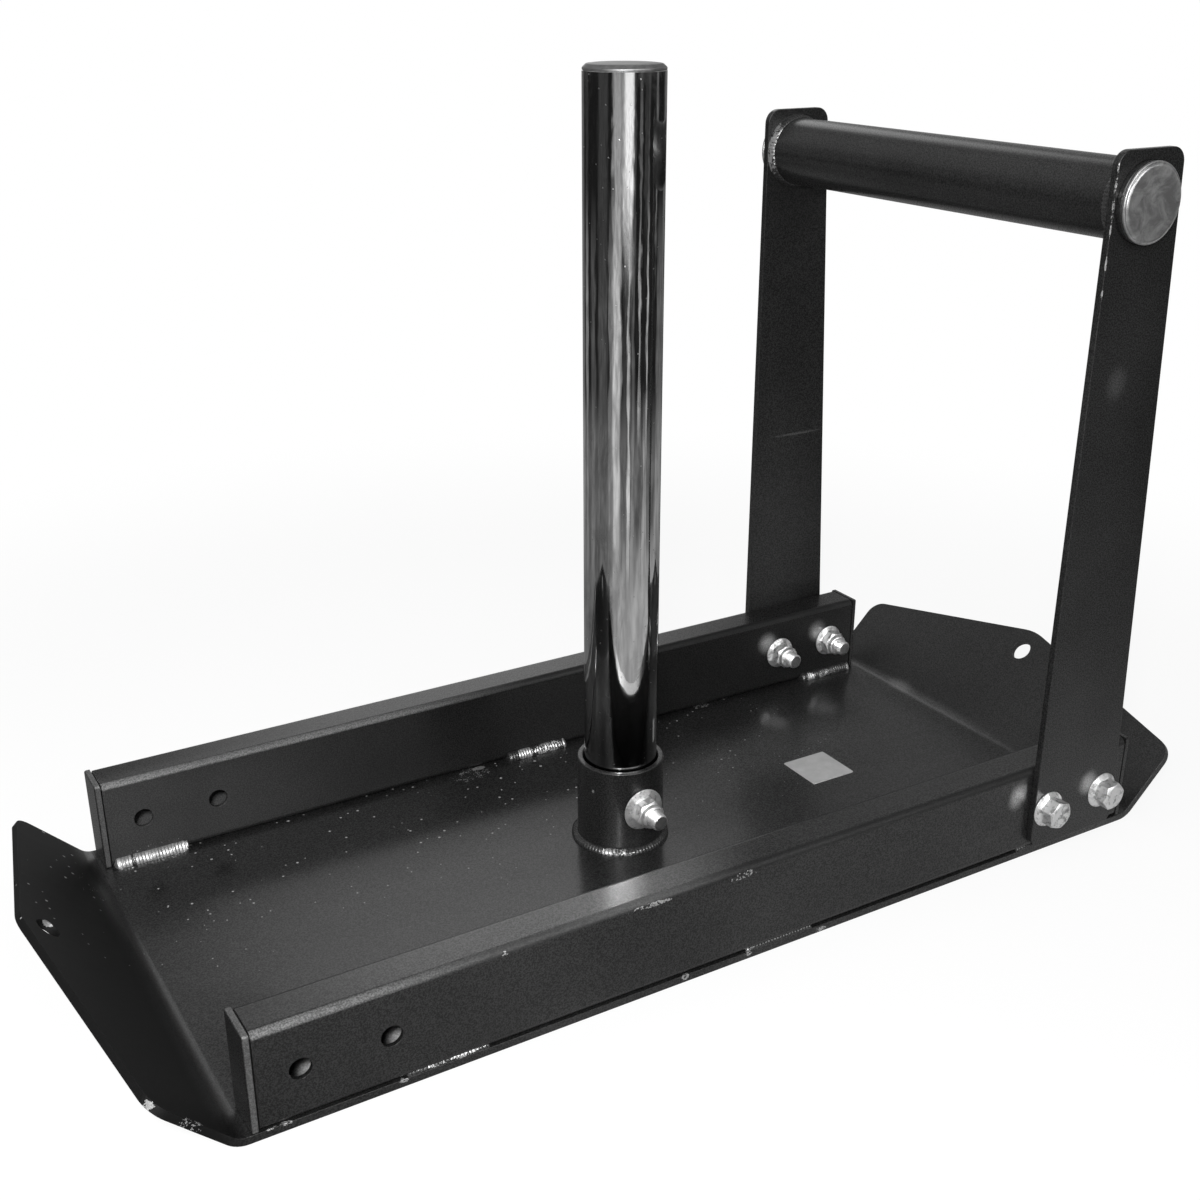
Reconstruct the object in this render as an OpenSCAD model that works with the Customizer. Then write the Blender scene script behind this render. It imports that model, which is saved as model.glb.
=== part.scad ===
// Push sled: a folded pan, two welded rails, a bolted weight post and a bolted push handle.
// X runs along the sled with the handle at +X, Y runs across it, Z is up from the ground.

/* [Pan] */
// Thickness of the pan plate
pan_t = 5; // [3:0.5:10]
// Width of the pan across the sled
pan_w = 330; // [260:1:600]
// Flat stretch of the pan between a rail cap and the fold
pan_margin = 1.5; // [1:0.5:20]
// Inner radius of the folds
fold_r = 12; // [6:0.5:20]
// Angle of the end ramps above the ground
ramp_angle = 45; // [30:1:60]
// Length of a ramp up the slope at its side edges
ramp_side = 57.5; // [45:0.5:80]
// Length of a ramp up the slope at its centre
ramp_apex = 95.5; // [85:0.5:140]
// Radius of the ramp corners
ramp_corner_r = 14; // [6:0.5:18]
// Radius of the ramp apex
ramp_apex_r = 40; // [10:1:60]
// Diameter of the tow holes
tow_d = 16; // [10:0.5:18]
// From the fold up the slope to a tow hole
tow_up = 76; // [60:0.5:80]

/* [Rails] */
// Length of each rail tube without its end caps
rail_len = 640; // [560:1:1200]
// Height of each rail tube
rail_h = 63; // [50:1:100]
// Width of each rail tube
rail_w = 29; // [24:1:50]
// Wall of each rail tube
rail_wall = 3; // [2:0.5:4]
// Outer corner radius of each rail tube
rail_r = 5; // [4.5:0.5:8]
// Inner corner radius of each rail tube
rail_inner_r = 2; // [1:0.5:4]
// Thickness of the rail end caps
cap_t = 3.8; // [2:0.1:8]
// Width of the seam weld between a rail tube and its end cap
seam_w = 1.2; // [0.6:0.1:3]
// How far the seam weld lies below the faces of the rail
seam_in = 1; // [0.5:0.1:1.5]
// From the outside of a cap to its nearest bolt hole
hole_in = 29.5; // [22:0.5:60]
// Distance between the two bolt holes at each end
hole_pitch = 52; // [44:0.5:90]

/* [Weight post] */
// Diameter of the weight post
post_d = 50; // [40:0.5:60]
// How far the plated stretch of the post stands proud of its foot all round
post_step = 0.4; // [0.15:0.05:0.8]
// How far the foot of the post shows above the socket
post_foot_out = 1; // [0.5:0.1:5]
// Wall of the weight post
post_wall = 3; // [2:0.5:5]
// Length of the post tube
post_len = 509; // [250:1:800]
// Height of the cap head on the post
post_cap_h = 4; // [2:0.5:10]
// Wall of the socket
socket_wall = 4; // [3:0.5:8]
// Height of the socket
socket_h = 62; // [50:1:120]
// From the pan up to the bolt through the socket
socket_bolt_up = 33; // [20:0.5:42]
// From the middle of the sled back to the post
post_x = 2; // [-40:1:40]

/* [Handle] */
// Thickness of the uprights
upright_t = 5; // [4:0.5:10]
// Height of the uprights
upright_h = 464; // [250:1:900]
// Gap between the uprights and the pan
upright_lift = 3; // [1:0.5:8]
// Width of the uprights at the bottom
upright_base_w = 80; // [78:0.5:110]
// Width of the uprights at the top
upright_top_w = 55.5; // [55:0.5:78]
// Corner radius of the uprights
upright_r = 10; // [4:0.5:12]
// From the front edge of an upright to its first bolt
bolt_edge = 12.5; // [12.5:0.5:17]
// Diameter of the handle tube
tube_d = 48.3; // [30:0.1:50]
// Wall of the handle tube
tube_wall = 3; // [2:0.5:5]
// From the front edge of an upright to the tube centre
tube_back = 26.5; // [26:0.5:29]
// From the top of an upright down to the tube centre
tube_drop = 30.5; // [28:0.5:60]
// How far the tube stands out of the uprights
tube_out = 3.5; // [2:0.5:10]
// Thickness of the plug heads in the tube ends
plug_head = 3.5; // [2:0.5:8]
// How far the plugs reach into the tubes
plug_in = 12; // [6:0.5:20]
// Bevel round the plug heads
plug_bevel = 0.9; // [0.4:0.1:1.5]

/* [Fasteners] */
// Thread diameter of the bolts
bolt_d = 12; // [10:0.5:13]
// Width across the flats of the heads and nuts
hex_af = 18; // [16:0.5:19]
// Diameter of the flanges
flange_d = 26; // [23:0.5:26]
// Diameter of the wider flange of the nut on the socket
post_flange_d = 30; // [24:0.5:34]
// Thickness of the flanges
flange_t = 2.5; // [1.5:0.1:3]
// Height of a bolt head with its flange
head_h = 13; // [9:0.5:16]
// Height of the hexagon of a nut with its flange
nut_h = 11; // [8:0.5:14]
// Height of the locking collar on a nut
collar_h = 4; // [2:0.5:6]
// Diameter of the locking collar on a nut
collar_d = 17; // [16:0.5:18]
// How far a bolt stands out past its nut
tip_out = 8; // [3:0.5:12]

/* [Welds and label] */
// Length of each stitch weld on a rail
stitch_len = 52; // [20:1:80]
// Leg of the welds along the inside of the rails
stitch_leg = 5; // [3:0.5:6]
// Height of the welds along the outside of the rails
stitch_fill = 2.5; // [1:0.5:4]
// From an end of a rail tube to the middle of the inner stitch there
stitch_in = 27; // [10:1:90]
// From the middle of the sled back to the middle inner stitch
stitch_mid_in = 8; // [-60:1:60]
// From the front end of a rail tube to the middle of the first outer stitch
stitch_front = 110; // [45:1:150]
// From the middle of the sled back to the middle outer stitch
stitch_mid_out = 20; // [-60:1:60]
// From the rear end of a rail tube to the middle of the last outer stitch
stitch_rear = 70; // [45:1:150]
// Leg of the weld round the socket
socket_leg = 4; // [2:0.5:8]
// Leg of the welds round the handle tube
tube_leg = 3.5; // [1.5:0.25:3.5]
// Side of the square label
label_side = 38; // [20:1:60]
// Thickness of the label
label_t = 0.6; // [0.4:0.1:2]
// From the middle of the sled back to the middle of the label
label_x = 182; // [100:1:220]
// How far the middle of the label lies off the centre line
label_y = 2; // [-20:1:20]

/* [Clearances] */
// Extra diameter of the bolt holes
bolt_play = 1; // [0.5:0.1:2]
// Gap between the post and the socket all round
socket_gap = 1; // [0.2:0.1:3]
// Gap between a curved face and what is seated on it
seat_gap = 0.05; // [0.02:0.01:0.2]

/* [Hidden] */
$fn = 96;
over = 1;

// Places along the sled
rail_end = rail_len / 2 + seam_w + cap_t;
fold_back = fold_r * tan(ramp_angle / 2);
flat_end = rail_end + pan_margin;
fold_x = flat_end + fold_back;
hole_x = [rail_end - hole_in, rail_end - hole_in - hole_pitch];
inner_stitches = [stitch_in - rail_len / 2, stitch_mid_in, rail_len / 2 - stitch_in];
outer_stitches = [stitch_front - rail_len / 2, stitch_mid_out, rail_len / 2 - stitch_rear];

// Places across the sled
rail_out = pan_w / 2;
rail_in = rail_out - rail_w;
upright_out = rail_out + upright_t;
tube_end = upright_out + tube_out;

// Heights
rail_mid = pan_t + rail_h / 2;
socket_id = post_d + 2 * socket_gap;
socket_od = socket_id + 2 * socket_wall;
socket_bolt_z = pan_t + socket_bolt_up;
post_top = pan_t + post_len;
upright_z = pan_t + upright_lift;
upright_x = hole_x[1] - bolt_edge;
tube_x = upright_x + tube_back;
tube_z = upright_z + upright_h - tube_drop;

// Fastener sizes that follow the thread
hole_d = bolt_d + bolt_play;
thread_bore = bolt_d + 2 * seat_gap;
chamfer = bolt_d / 8;
hex_corner_d = hex_af / cos(30);
nut_total = nut_h + collar_h;

// Colours of the finishes
paint = "#26272a";
chrome = "#c9ccd0";
zinc = "#d5d8da";
steel = "#8c8f93";

function unit(v) = v / norm(v);

// What is cut from corner v between neighbours a and b to round it by radius r
module corner_cut(v, a, b, r) {
    da = unit(a - v);
    db = unit(b - v);
    half = acos(da * db) / 2;
    reach = r / tan(half);
    middle = unit(da + db);
    ta = v + da * reach;
    tb = v + db * reach;
    difference() {
        polygon([ta, ta - middle * over, v - middle * over * 3, tb - middle * over, tb]);
        translate(v + middle * r / sin(half)) circle(r = r);
    }
}

// A polygon with corner number i rounded by radii[i]; a radius of 0 leaves it sharp
module rounded_outline(points, radii) {
    n = len(points);
    difference() {
        polygon(points);
        for (i = [0 : n - 1])
            if (radii[i] > 0)
                corner_cut(points[i], points[(i + n - 1) % n], points[(i + 1) % n], radii[i]);
    }
}

// A rectangle of size [w, h] about the origin with round corners
module rounded_rectangle(w, h, r) {
    square([w - 2 * r, h], center = true);
    square([w, h - 2 * r], center = true);
    for (x = [-1, 1], y = [-1, 1])
        translate([x * (w / 2 - r), y * (h / 2 - r)]) circle(r = r);
}

// Everything that is the same at both ends of the sled, first at +X and then at -X
module both_ends() {
    children();
    mirror([1, 0, 0]) children();
}

// What is drawn for the side at +Y, moved to side 1 (+Y, right) or -1 (-Y, left)
module on_side(side) {
    if (side > 0) children();
    else mirror([0, 1, 0]) children();
}

// Outline of a trough with its floor at height z, its folds at -x and x and its sides up to top
module trough(x, z, r, top) {
    reach = (top - z) / tan(ramp_angle);
    rounded_outline([[-x, z], [x, z], [x + reach, top], [-x - reach, top]], [r, r, 0, 0]);
}

// The folded plate at full width, its ramps not yet cut to shape
module folded_plate() {
    top = pan_t + ramp_apex;
    rotate([90, 0, 0])
        linear_extrude(pan_w, center = true)
            difference() {
                trough(fold_x + pan_t * tan(ramp_angle / 2), 0, fold_r + pan_t, top);
                trough(fold_x, pan_t, fold_r, top + over);
            }
}

// What is drawn flat with x = 0 at the fold, laid on the ramp at +X
module on_ramp() {
    translate([fold_x, 0, pan_t]) rotate([0, -ramp_angle, 0]) children();
}

module base_pan() {
    flat_x = fold_x + ramp_side / 2 * cos(ramp_angle);
    cut = 4 * pan_t;
    outline = [
        [0, -pan_w / 2],
        [ramp_side, -pan_w / 2],
        [ramp_apex, 0],
        [ramp_side, pan_w / 2],
        [0, pan_w / 2]
    ];
    color(paint)
        difference() {
            intersection() {
                folded_plate();
                union() {
                    cube([2 * flat_x, pan_w + 2 * over, ramp_side], center = true);
                    both_ends()
                        on_ramp()
                            linear_extrude(cut, center = true)
                                rounded_outline(outline, [0, ramp_corner_r, ramp_apex_r, ramp_corner_r, 0]);
                }
            }
            both_ends() on_ramp() translate([tow_up, 0, 0]) cylinder(d = tow_d, h = cut, center = true);
        }
}

// Closed rectangular tube with two bolt holes near each end
module rail(side) {
    color(paint)
        difference() {
            translate([-rail_len / 2, side * (rail_out + rail_in) / 2, rail_mid])
                rotate([90, 0, 90])
                    linear_extrude(rail_len)
                        difference() {
                            rounded_rectangle(rail_w, rail_h, rail_r);
                            rounded_rectangle(rail_w - 2 * rail_wall, rail_h - 2 * rail_wall, rail_inner_r);
                        }
            for (x = hole_x, end = [-1, 1])
                translate([end * x, side * (rail_out + rail_in) / 2, rail_mid])
                    rotate([90, 0, 0]) cylinder(d = hole_d, h = rail_w + 2 * over, center = true);
        }
}

// Flat plate that closes one end of a rail
module rail_cap(side, end) {
    color(paint)
        translate([end * (rail_end - cap_t / 2), side * (rail_out + rail_in) / 2, rail_mid])
            cube([cap_t, rail_w, rail_h], center = true);
}

// Weld rings in the grooves between a rail tube and its two end caps
module cap_seams(side) {
    color(paint)
        both_ends()
            translate([rail_len / 2, side * (rail_out + rail_in) / 2, rail_mid])
                rotate([90, 0, 90])
                    linear_extrude(seam_w)
                        difference() {
                            rounded_rectangle(rail_w - 2 * seam_in, rail_h - 2 * seam_in, rail_r - seam_in);
                            rounded_rectangle(rail_w - 2 * rail_wall, rail_h - 2 * rail_wall, rail_inner_r);
                        }
}

// Section of a weld that fills the groove under a rail's round corner, with its leg over the pan
module stitch_section(leg) {
    difference() {
        polygon([[-leg, 0], [0, leg + rail_r / 2], [0, rail_r], [rail_r, rail_r], [rail_r, 0]]);
        translate([rail_r, rail_r]) circle(r = rail_r + seat_gap);
    }
}

// Section of a weld that fills the groove flush with the outside of a rail
module groove_section() {
    difference() {
        square([rail_r, stitch_fill]);
        translate([rail_r, rail_r]) circle(r = rail_r + seat_gap);
    }
}

// Three stitches along the inside of a rail and three along its outside
module rail_welds(side) {
    color(paint)
        on_side(side) {
            for (x = inner_stitches)
                translate([x - stitch_len / 2, rail_in, pan_t])
                    rotate([90, 0, 90]) linear_extrude(stitch_len) stitch_section(stitch_leg);
            for (x = outer_stitches)
                translate([x + stitch_len / 2, rail_out, pan_t])
                    rotate([90, 0, -90]) linear_extrude(stitch_len) groove_section();
        }
}

module post_socket() {
    color(paint)
        translate([post_x, 0, pan_t])
            difference() {
                cylinder(d = socket_od, h = socket_h);
                translate([0, 0, -over]) cylinder(d = socket_id, h = socket_h + 2 * over);
                translate([0, 0, socket_bolt_up])
                    rotate([90, 0, 0]) cylinder(d = hole_d, h = socket_od + 2 * over, center = true);
            }
}

module socket_weld() {
    inner = socket_od / 2 + seat_gap;
    color(paint)
        translate([post_x, 0, pan_t])
            rotate_extrude()
                polygon([[inner, 0], [inner + socket_leg, 0], [inner, socket_leg]]);
}

// Chromed tube with a slightly thinner foot in the socket
module weight_post() {
    foot = socket_h + post_foot_out;
    color(chrome)
        translate([post_x, 0, pan_t])
            difference() {
                union() {
                    cylinder(d = post_d - 2 * post_step, h = foot);
                    translate([0, 0, foot]) cylinder(d = post_d, h = post_len - foot);
                }
                translate([0, 0, -over]) cylinder(d = post_d - 2 * post_wall, h = post_len + 2 * over);
                translate([0, 0, socket_bolt_up])
                    rotate([90, 0, 0]) cylinder(d = hole_d, h = post_d + 2 * over, center = true);
            }
}

// Round plug with its head on a tube end, its spigot in the tube below z = 0
module tube_cap(outer_d, wall, head) {
    cylinder(d = outer_d, h = head - plug_bevel);
    translate([0, 0, head - plug_bevel])
        cylinder(d1 = outer_d, d2 = outer_d - 2 * plug_bevel, h = plug_bevel);
    translate([0, 0, -plug_in]) cylinder(d = outer_d - 2 * wall - 2 * seat_gap, h = plug_in);
}

module post_cap() {
    color(steel) translate([post_x, 0, post_top]) tube_cap(post_d, post_wall, post_cap_h);
}

// Hexagon from z = 0 to h with its top corners turned off
module hexagon(h) {
    intersection() {
        cylinder(d = hex_corner_d, h = h, $fn = 6);
        union() {
            cylinder(d = hex_corner_d + over, h = h - chamfer);
            translate([0, 0, h - chamfer]) cylinder(d1 = hex_corner_d, d2 = hex_af - chamfer, h = chamfer);
        }
    }
}

// Round flange that slopes in to the hexagon
module flange(d = flange_d) {
    edge = flange_t / 3;
    cylinder(d = d, h = edge);
    translate([0, 0, edge]) cylinder(d1 = d, d2 = hex_corner_d, h = flange_t - edge);
}

// Flange bolt along Z with its head above z = 0 and its shank of the given length below
module flange_bolt(shank) {
    color(zinc) {
        flange();
        hexagon(head_h);
        translate([0, 0, chamfer - shank]) cylinder(d = bolt_d, h = shank - chamfer);
        translate([0, 0, -shank]) cylinder(d1 = bolt_d - 2 * chamfer, d2 = bolt_d, h = chamfer);
    }
}

// Flange nut with a locking collar, standing on z = 0
module flange_nut(d = flange_d) {
    color(zinc)
        difference() {
            union() {
                flange(d);
                hexagon(nut_h);
                cylinder(d = collar_d, h = nut_total - chamfer);
                translate([0, 0, nut_total - chamfer])
                    cylinder(d1 = collar_d, d2 = collar_d - 2 * chamfer, h = chamfer);
            }
            translate([0, 0, -over]) cylinder(d = thread_bore, h = nut_total + 2 * over);
        }
}

// The bolt through the socket has its head at +Y and its nut at -Y
module post_bolt() {
    translate([post_x, socket_od / 2, socket_bolt_z])
        rotate([-90, 0, 0]) flange_bolt(socket_od + nut_total + tip_out);
}

module post_nut() {
    translate([post_x, -socket_od / 2, socket_bolt_z]) rotate([90, 0, 0]) flange_nut(post_flange_d);
}

// Tapered flat bar on the outside of a rail
module upright(side) {
    rear = [upright_x + upright_base_w, upright_x + upright_top_w];
    outline = [
        [upright_x, upright_z],
        [rear[0], upright_z],
        [rear[1], upright_z + upright_h],
        [upright_x, upright_z + upright_h]
    ];
    color(paint)
        translate([0, side * (rail_out + upright_t / 2), 0])
            rotate([90, 0, 0])
                difference() {
                    linear_extrude(upright_t, center = true)
                        rounded_outline(outline, [for (p = outline) upright_r]);
                    for (x = hole_x)
                        translate([x, rail_mid, 0])
                            cylinder(d = hole_d, h = upright_t + 2 * over, center = true);
                    translate([tube_x, tube_z, 0])
                        cylinder(d = tube_d + 2 * seat_gap, h = upright_t + 2 * over, center = true);
                }
}

module handle_tube() {
    color(paint)
        translate([tube_x, 0, tube_z])
            rotate([90, 0, 0])
                difference() {
                    cylinder(d = tube_d, h = 2 * tube_end, center = true);
                    cylinder(d = tube_d - 2 * tube_wall, h = 2 * tube_end + 2 * over, center = true);
                }
}

module tube_plug(side) {
    color(steel)
        translate([tube_x, side * tube_end, tube_z])
            rotate([-90 * side, 0, 0]) tube_cap(tube_d, tube_wall, plug_head);
}

// Weld round the tube against the inner face of an upright
module tube_weld(side) {
    inner = tube_d / 2 + seat_gap;
    color(paint)
        translate([tube_x, side * rail_out, tube_z])
            rotate([90 * side, 0, 0])
                rotate_extrude()
                    polygon([[inner, 0], [inner + tube_leg, 0], [inner, tube_leg]]);
}

// The handle bolts have their heads outside the uprights and their nuts inside the rails
module handle_bolts(side) {
    for (x = hole_x)
        translate([x, side * upright_out, rail_mid])
            rotate([-90 * side, 0, 0]) flange_bolt(upright_t + rail_w + nut_total + tip_out);
}

module handle_nuts(side) {
    for (x = hole_x)
        translate([x, side * rail_in, rail_mid]) rotate([90 * side, 0, 0]) flange_nut();
}

module label_plate() {
    color(steel)
        translate([label_x, label_y, pan_t + label_t / 2])
            cube([label_side, label_side, label_t], center = true);
}

base_pan();
rail(-1);  // left_rail
rail(1);  // right_rail
rail_cap(-1, -1);  // left_front_cap
rail_cap(-1, 1);  // left_rear_cap
rail_cap(1, -1);  // right_front_cap
rail_cap(1, 1);  // right_rear_cap
cap_seams(-1);  // left_cap_seams
cap_seams(1);  // right_cap_seams
rail_welds(-1);  // left_rail_welds
rail_welds(1);  // right_rail_welds
post_socket();
socket_weld();
weight_post();
post_cap();
post_bolt();
post_nut();
upright(-1);  // left_upright
upright(1);  // right_upright
handle_tube();
tube_plug(-1);  // left_tube_plug
tube_plug(1);  // right_tube_plug
tube_weld(-1);  // left_tube_weld
tube_weld(1);  // right_tube_weld
handle_bolts(-1);  // left_handle_bolts
handle_bolts(1);  // right_handle_bolts
handle_nuts(-1);  // left_handle_nuts
handle_nuts(1);  // right_handle_nuts
label_plate();
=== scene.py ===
import math

import bmesh
import bpy
from mathutils import Matrix, Vector, noise


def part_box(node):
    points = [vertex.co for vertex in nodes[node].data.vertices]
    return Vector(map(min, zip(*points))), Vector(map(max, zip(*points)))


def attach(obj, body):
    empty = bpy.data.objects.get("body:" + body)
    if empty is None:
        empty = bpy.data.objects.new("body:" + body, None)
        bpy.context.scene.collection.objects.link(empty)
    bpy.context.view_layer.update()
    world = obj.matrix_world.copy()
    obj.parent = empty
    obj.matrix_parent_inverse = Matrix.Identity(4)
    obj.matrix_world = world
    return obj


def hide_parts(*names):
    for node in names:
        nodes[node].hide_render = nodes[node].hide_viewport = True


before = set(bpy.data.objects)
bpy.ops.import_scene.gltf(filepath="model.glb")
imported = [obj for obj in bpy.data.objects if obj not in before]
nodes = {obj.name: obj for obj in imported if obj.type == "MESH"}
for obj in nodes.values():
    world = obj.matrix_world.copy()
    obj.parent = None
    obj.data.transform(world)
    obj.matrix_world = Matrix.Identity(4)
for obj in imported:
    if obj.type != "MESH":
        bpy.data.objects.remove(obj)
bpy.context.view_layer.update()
scene = bpy.context.scene
mm = 0.001
print("frame loaded:", len(nodes), "nodes")


# Shader maths as plain expressions

class Wire:
    # One output socket, which can be added, multiplied and so on like a number
    def __init__(self, kit, socket):
        self.kit = kit
        self.socket = socket

    def math(self, operation, *others):
        return self.kit.calc(operation, self, *others)

    def __add__(self, other):
        return self.math("ADD", other)

    __radd__ = __add__

    def __mul__(self, other):
        return self.math("MULTIPLY", other)

    __rmul__ = __mul__

    def __sub__(self, other):
        return self.math("SUBTRACT", other)

    def __rsub__(self, other):
        return self.kit.calc("SUBTRACT", other, self)

    def __truediv__(self, other):
        return self.math("DIVIDE", other)

    def __abs__(self):
        return self.math("ABSOLUTE")

    def step(self, low, high):  # smooth step from 0 at low to 1 at high
        sockets = {0: self, 1: low, 2: high, 3: 0.0, 4: 1.0}
        return self.kit.node("MapRange", {"interpolation_type": "SMOOTHSTEP"}, sockets)

    def span(self, low, high):  # straight line from low at 0 to high at 1
        return self.kit.node("MapRange", {}, {0: self, 1: 0.0, 2: 1.0, 3: low, 4: high})


class NodeKit:
    # A node tree with short ways to add nodes
    def __init__(self, tree):
        self.tree = tree
        tree.nodes.clear()

    def node(self, kind, settings, sockets, out=0):
        made = self.tree.nodes.new("ShaderNode" + kind)
        for key, value in settings.items():
            setattr(made, key, value)
        for key, value in sockets.items():
            if isinstance(value, Wire):
                self.tree.links.new(value.socket, made.inputs[key])
            else:
                made.inputs[key].default_value = value
        return Wire(self, made.outputs[out]) if made.outputs else None

    def calc(self, operation, *values):
        return self.node("Math", {"operation": operation}, dict(enumerate(values)))

    def vector(self, operation, *values, out=0):
        return self.node("VectorMath", {"operation": operation}, dict(enumerate(values)), out)

    def mix(self, factor, a, b):  # two colours, each a wire or a tuple
        a, b = [c if isinstance(c, Wire) else (*c, 1.0) for c in (a, b)]
        return self.node("Mix", {"data_type": "RGBA"}, {0: factor, 6: a, 7: b}, out=2)

    def grey(self, level):  # a number as a grey colour
        return self.node("CombineColor", {}, {0: level, 1: level, 2: level})

    def place(self):  # where a point is on the sled, in metres
        return self.node("TexCoord", {}, {}, out="Object")

    def split(self, vector):
        made = self.node("SeparateXYZ", {}, {0: vector})
        outs = made.socket.node.outputs
        return [Wire(self, outs[i]) for i in range(3)]

    def noise(self, vector, size, detail=2.0, roughness=0.5, distortion=0.0):
        sockets = {"Vector": vector, "Scale": 1 / size, "Detail": detail,
                   "Roughness": roughness, "Distortion": distortion}
        return self.node("TexNoise", {}, sockets)

    def cells(self, vector, size, out="Distance", flat=True):
        settings = {"voronoi_dimensions": "2D" if flat else "3D"}
        return self.node("TexVoronoi", settings, {"Vector": vector, "Scale": 1 / size}, out)

    def bump(self, height, strength, distance, under=None):
        sockets = {"Strength": strength, "Distance": distance, "Height": height}
        if under is not None:
            sockets["Normal"] = under
        return self.node("Bump", {}, sockets, out="Normal")

    def ray(self, kind):  # 1 for light rays of the kind named
        return self.node("LightPath", {}, {}, out=kind)

    def near(self, point, size):  # 1 at the point, 0 at size away, in metres
        away = self.vector("SUBTRACT", self.place(), point)
        scaled = self.vector("DIVIDE", away, size if isinstance(size, tuple) else (size,) * 3)
        return 1 - self.vector("LENGTH", scaled, out="Value")

    def finish(self, sockets):
        shader = self.node("BsdfPrincipled", {}, sockets)
        self.node("OutputMaterial", {}, {"Surface": shader})


def newMaterial(name):
    material = bpy.data.materials.new(name)
    material.use_nodes = True
    return material, NodeKit(material.node_tree)


# Powder coat

paint = dict(
    level=0.0064,  # how light the paint is
    mottle=0.0035,  # how much lighter its lightest clouds are
    roughness=0.19,  # of the smooth skin
    specular=0.28,  # how strongly the skin mirrors
    sheen=0.85,  # weight of the broad sheen of the fine texture
    sheenRoughness=0.5,
    grain=0.0009,  # size of the fine texture
    grainDepth=0.000018,
    cloud=0.11,  # size of the lighter clouds
    streak=0.03,
    wave=0.06,  # size of the slow waves in the plate
    waveDepth=0.00006,
    dish=0.0,  # how far the plate rises towards the rails, as its shading shows it
    dishFrom=(0.015, 0.125),  # distances from the middle between which it rises
    dishEnd=(0.27, 0.33),  # and along the sled, between which the rise ends
    bareSteel=0.62,
    chip=0.0016,  # size of the fine breaks in a chip's edge
    ragged=0.0065,  # and of the coarse ones
    dust=0.0,
    dustCell=0.007,  # how far apart the specks can be
    dustPatch=0.04,
    dustSide=(-0.08, 0.125),  # from few specks to many, across the sled
    dustEnd=(0.12, 0.3),  # where they end, along the sled
    rim=0.0,  # painted light: how much lighter the faces are that look sideways or up
    rub=0.0,  # painted highlight: how much lighter the round top edges facing -Y are made
    rubTop=(0.05, 0.06),  # heights between which the painted highlight starts
    rubEnd=(-0.32, -0.16),  # where it fades out along the left rail
    rubShift=0.18,  # how much further back that is on the right rail
    dull=0.0,  # how much of its sheen the front ramp has lost, and how far its paint is darkened as painted shade
    frontRamp=(-0.345, -0.324),  # where the front ramp turns into the floor of the pan
    ramps=(0.32, 0.345),  # where both ramps start, from the middle
    dim=0.0,  # how much of its sheen the front end has lost
    dimEnd=(-0.34, -0.1),
)


def paintedEdgeLight(s, turn, place, texture, clouds):
    # Where the round top edges get a painted highlight, how much, and where they get painted shade
    x, y, z = place
    along = x - y.step(-0.1, 0.1) * s["rubShift"]
    top = z.step(*s["rubTop"])
    outer = (turn[1] * turn[2] * -1).step(0.1, 0.4) * top
    shaded = (turn[1] * turn[2]).step(0.05, 0.3) * top
    rubbed = outer * (1 - along.step(*s["rubEnd"]))
    return outer, shaded, rubbed * (0.35 + texture * 0.9) * (0.6 + clouds * 0.8) * s["rub"]


def dustSpecks(kit, s, place, x, y, chips):
    # 1 on the specks of dust, which gather in patches at the foot of the right rail
    kept = kit.node("SeparateColor", {}, {0: kit.cells(place, s["dustCell"], out="Color")})
    where = (y.step(*s["dustSide"]) * 0.95 + 0.05) * (1 - x.step(*s["dustEnd"]))
    patchy = kit.noise(place, s["dustPatch"], 2.0, 0.5).step(0.33, 0.58) * where
    wide = kept.span(-0.25, 0.145).math("MAXIMUM", 0.001) * (0.3 + patchy)
    away = kit.cells(place, s["dustCell"]) + chips * 0.03
    return (1 - (away / wide).step(0.6, 1.0)) * kept.step(0.82, 0.84) * patchy.step(0.1, 0.3)


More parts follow.
